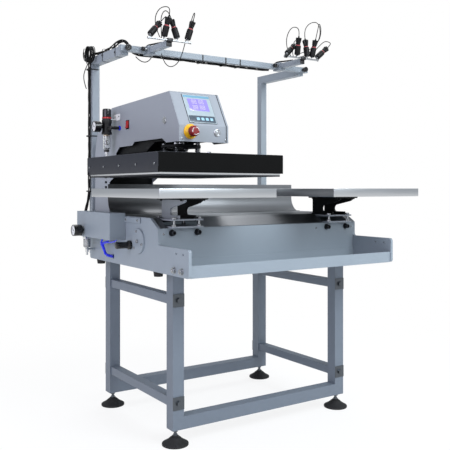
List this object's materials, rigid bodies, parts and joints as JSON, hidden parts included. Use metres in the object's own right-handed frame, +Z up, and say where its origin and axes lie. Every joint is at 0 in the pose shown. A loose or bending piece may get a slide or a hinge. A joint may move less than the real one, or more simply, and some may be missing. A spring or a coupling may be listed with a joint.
{
  "type": "pneumatic heat press",
  "caption": "Free-standing pneumatic heat press with a shuttle head over two flat platens, levelling feet and alignment pointers on a rear gantry.",
  "frame": {"origin": "on the floor under the middle of the machine's bounding box", "axes": "+X to the operator's right, +Y to the rear, +Z up"},
  "size_m": [1.3065, 0.9792, 1.7947],
  "materials": {
    "grey_paint": "satin powder coat",
    "light_paint": "satin powder coat",
    "black_steel": "satin",
    "hood_black": "satin",
    "brushed_sheet": "brushed",
    "bright_sheet": "satin",
    "machined_steel": "machined",
    "aluminium_cast": "smooth",
    "heater_alloy": "machined",
    "glass_wool": "fibrous",
    "silicone_pad": "matt",
    "black_rubber": "matt",
    "black_plastic": "fine grain",
    "gloss_black": "gloss",
    "zinc": "bright zinc",
    "red_plastic": "gloss",
    "yellow_plastic": "gloss",
    "display_blue": "gloss",
    "blue_tube": "gloss",
    "clear_bowl": "clear",
    "chrome": "polished"
  },
  "bodies": {
    "bench": {"stand_legs": "grey_paint", "stand_rails": "grey_paint", "stand_fasteners": "zinc", "body_side_plates": "grey_paint", "base_pan": "grey_paint", "front_panel": "grey_paint", "deck_and_guard": "brushed_sheet", "body_feet": "black_rubber", "platen_beam": "black_steel", "bracket_plates": "black_steel", "bracket_bases": "light_paint", "platen_trays": "bright_sheet", "platen_pads": "silicone_pad", "shuttle_rails": "machined_steel", "valve_box": "grey_paint", "box_gauge": "gloss_black", "inlet_filter": "chrome", "air_tubes": "blue_tube", "side_covers": "grey_paint", "body_fasteners": "zinc", "gantry_frame": "grey_paint", "gantry_cables": "black_plastic"},
    "head": {"shuttle_carriage": "aluminium_cast", "head_frame": "black_steel", "head_side_panels": "light_paint", "head_covers": "light_paint", "control_display": "display_blue", "press_cylinder": "aluminium_cast", "estop_ring": "yellow_plastic", "head_fasteners": "chrome", "air_regulator": "gloss_black", "regulator_bowl": "clear_bowl", "regulator_gauge": "chrome"},
    "press": {"heater_cover": "hood_black", "heater_plate": "heater_alloy", "heater_insulation": "glass_wool", "press_flange": "black_steel", "press_springs": "black_steel", "press_bolts": "zinc"},
    "estop_mushroom": {"estop_button": "red_plastic"},
    "start_key": {"start_button": "chrome"},
    "side_key": {"side_button": "chrome"},
    "power_switch": {"power_rocker": "red_plastic"},
    "pressure_knob": {"regulator_knob": "gloss_black"},
    "side_grip": {"side_knob": "gloss_black"},
    "rail_knob_left": {"gantry_knob_left": "black_plastic"},
    "rail_knob_right": {"gantry_knob_right": "black_plastic"},
    "carrier_left": {"laser_arm_left": "grey_paint"},
    "carrier_right": {"laser_arm_right": "grey_paint"},
    "pointers_left": {"lasers_left": "black_plastic", "laser_leads_left": "black_plastic"},
    "pointers_right": {"lasers_right": "black_plastic", "laser_leads_right": "black_plastic"},
    "clamp_left": {"clamp_knob_left": "black_plastic"},
    "clamp_right": {"clamp_knob_right": "black_plastic"},
    "levelling_front_left": {"foot_front_left": "black_rubber"},
    "levelling_front_right": {"foot_front_right": "black_rubber"},
    "levelling_rear_left": {"foot_rear_left": "black_rubber"},
    "levelling_rear_right": {"foot_rear_right": "black_rubber"}
  },
  "joints": [
    {"name": "head_shuttle", "type": "slide", "parent": "bench", "child": "head", "axis": [1, 0, 0], "range_m": [0, 0.79]},
    {"name": "press_stroke", "type": "slide", "parent": "head", "child": "press", "axis": [0, 0, 1], "range_m": [-0.044, 0], "stiffness_N_per_m": 6000, "springref_m": 0.05},
    {"name": "estop_push", "type": "slide", "parent": "head", "child": "estop_mushroom", "axis": [0, 1, 0], "range_m": [0, 0.004], "stiffness_N_per_m": 900},
    {"name": "start_push", "type": "slide", "parent": "head", "child": "start_key", "axis": [0, 1, 0], "range_m": [0, 0.003], "stiffness_N_per_m": 600},
    {"name": "side_push", "type": "slide", "parent": "head", "child": "side_key", "axis": [1, 0, 0], "range_m": [0, 0.003], "stiffness_N_per_m": 600},
    {"name": "rocker_tip", "type": "hinge", "parent": "head", "child": "power_switch", "pos_m": [-0.494, 0.077, 1.265], "axis": [0, 1, 0], "range_deg": [-14, 0]},
    {"name": "pressure_turn", "type": "hinge", "parent": "head", "child": "pressure_knob", "pos_m": [-0.535, 0.199, 1.322], "axis": [0, 0, 1], "continuous": true},
    {"name": "side_grip_turn", "type": "hinge", "parent": "bench", "child": "side_grip", "pos_m": [-0.5055, 0.025, 0.77], "axis": [1, 0, 0], "continuous": true},
    {"name": "rail_knob_left_turn", "type": "hinge", "parent": "bench", "child": "rail_knob_left", "pos_m": [-0.4765, 0.1235, 1.594], "axis": [0, 1, 0], "continuous": true},
    {"name": "rail_knob_right_turn", "type": "hinge", "parent": "bench", "child": "rail_knob_right", "pos_m": [0.4915, 0.1235, 1.594], "axis": [0, 1, 0], "continuous": true},
    {"name": "carrier_left_slide", "type": "slide", "parent": "bench", "child": "carrier_left", "axis": [1, 0, 0], "range_m": [-0.04, 0.2]},
    {"name": "carrier_right_slide", "type": "slide", "parent": "bench", "child": "carrier_right", "axis": [1, 0, 0], "range_m": [-0.2, 0.07]},
    {"name": "pointer_tilt_left", "type": "hinge", "parent": "carrier_left", "child": "pointers_left", "pos_m": [-0.3665, -0.051, 1.608], "axis": [1, 0, 0], "range_deg": [-12, 12]},
    {"name": "pointer_tilt_right", "type": "hinge", "parent": "carrier_right", "child": "pointers_right", "pos_m": [0.3345, -0.051, 1.608], "axis": [1, 0, 0], "range_deg": [-12, 12]},
    {"name": "clamp_left_turn", "type": "hinge", "parent": "carrier_left", "child": "clamp_left", "pos_m": [-0.3845, 0.1105, 1.596], "axis": [1, 0, 0], "continuous": true},
    {"name": "clamp_right_turn", "type": "hinge", "parent": "carrier_right", "child": "clamp_right", "pos_m": [0.3245, 0.1105, 1.596], "axis": [1, 0, 0], "continuous": true},
    {"name": "front_left_foot_turn", "type": "hinge", "parent": "bench", "child": "levelling_front_left", "pos_m": [-0.4125, -0.179, 0.03], "axis": [0, 0, 1], "continuous": true},
    {"name": "rear_left_foot_turn", "type": "hinge", "parent": "bench", "child": "levelling_rear_left", "pos_m": [-0.4125, 0.409, 0.03], "axis": [0, 0, 1], "continuous": true},
    {"name": "front_right_foot_turn", "type": "hinge", "parent": "bench", "child": "levelling_front_right", "pos_m": [0.4275, -0.179, 0.03], "axis": [0, 0, 1], "continuous": true},
    {"name": "rear_right_foot_turn", "type": "hinge", "parent": "bench", "child": "levelling_rear_right", "pos_m": [0.4275, 0.409, 0.03], "axis": [0, 0, 1], "continuous": true}
  ]
}
